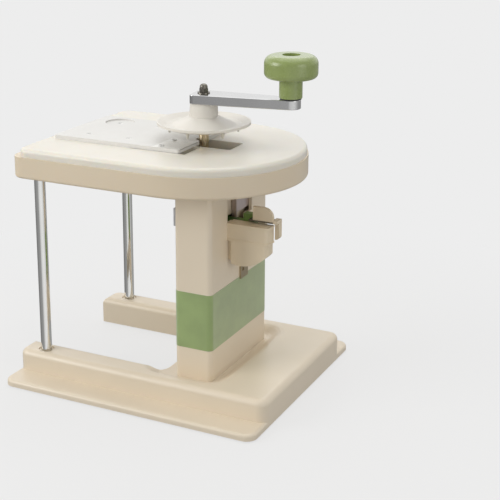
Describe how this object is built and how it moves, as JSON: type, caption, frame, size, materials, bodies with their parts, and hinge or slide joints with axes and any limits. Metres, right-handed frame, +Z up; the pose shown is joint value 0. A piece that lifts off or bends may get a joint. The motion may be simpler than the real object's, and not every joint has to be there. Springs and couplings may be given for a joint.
{
  "type": "rotary cabbage shredder",
  "caption": "Hand-cranked rotary cabbage shredder: a cream deck on a column and chrome posts, with a pinned holder disc, a crank with a green knob and a U-shaped base.",
  "frame": {"origin": "on the resting plane, under the axis of the feed shaft, at the middle foot", "axes": "+Z up along the feed shaft, +X from the posts towards the column and the crank's knob, -Y the side where the blade's slot lies"},
  "size_m": [0.256, 0.225, 0.3089],
  "materials": {
    "cream_plastic": "fine satin moulded",
    "white_plastic": "smooth moulded",
    "green_plastic": "smooth moulded",
    "green_band": "lightly mottled",
    "dark_green_plastic": "satin moulded",
    "cream_cover": "fine satin moulded",
    "black_rubber": "matte",
    "black_plastic": "matte",
    "chrome_steel": "polished",
    "steel": "brushed",
    "dark_steel": "brushed",
    "screw_steel": "plain",
    "nylon": "plain"
  },
  "bodies": {
    "frame": {"base": "cream_plastic", "bottom_cover": "cream_plastic", "rubber_feet": "black_rubber", "base_screws": "screw_steel", "base_bolts": "screw_steel", "front_post": "chrome_steel", "rear_post": "chrome_steel", "tray_bolts": "screw_steel", "column": "cream_plastic", "green_band": "green_band", "band_clip": "dark_steel", "guide_strap": "dark_steel", "strap_screws": "screw_steel", "guide_block": "nylon", "shaft_bush": "nylon", "slot_plate": "steel", "slot_plate_screws": "screw_steel", "deck_tray": "cream_plastic", "deck_cover": "cream_cover", "deck_screws": "screw_steel", "blade_plate": "white_plastic", "plate_screws": "screw_steel", "blade": "steel", "blade_screws": "screw_steel", "lever_housing": "cream_plastic", "housing_screws": "screw_steel", "lever_pin": "steel"},
    "carriage": {"shaft_slider": "nylon"},
    "crank": {"feed_shaft": "steel", "shaft_clips": "screw_steel", "holder_disc": "white_plastic", "disc_pins": "steel", "crank_arm": "chrome_steel", "arm_washer": "dark_steel", "dome_nut": "dark_steel", "knob_washer": "black_plastic", "knob_pin": "steel"},
    "knob_turner": {"knob": "green_plastic", "knob_cap": "green_plastic"},
    "release": {"release_lever": "dark_green_plastic", "brake_shoe": "nylon", "lever_strip": "dark_steel", "thumb_tab": "cream_plastic"}
  },
  "joints": [
    {"name": "holder_lift", "type": "slide", "parent": "frame", "child": "carriage", "axis": [0, 0, 1], "range_m": [0, 0.1]},
    {"name": "crank_turn", "type": "hinge", "parent": "carriage", "child": "crank", "pos_m": [0, 0, 0.25], "axis": [0, 0, 1], "continuous": true},
    {"name": "knob_spin", "type": "hinge", "parent": "crank", "child": "knob_turner", "pos_m": [0.0804, 0.00987, 0.29], "axis": [0, 0, 1], "continuous": true},
    {"name": "release_press", "type": "hinge", "parent": "frame", "child": "release", "pos_m": [0.046, -0.0015, 0.1515], "axis": [0, 1, 0], "range_deg": [0, 2.5], "stiffness_Nm_per_rad": 1.5, "springref_deg": -1.72}
  ]
}
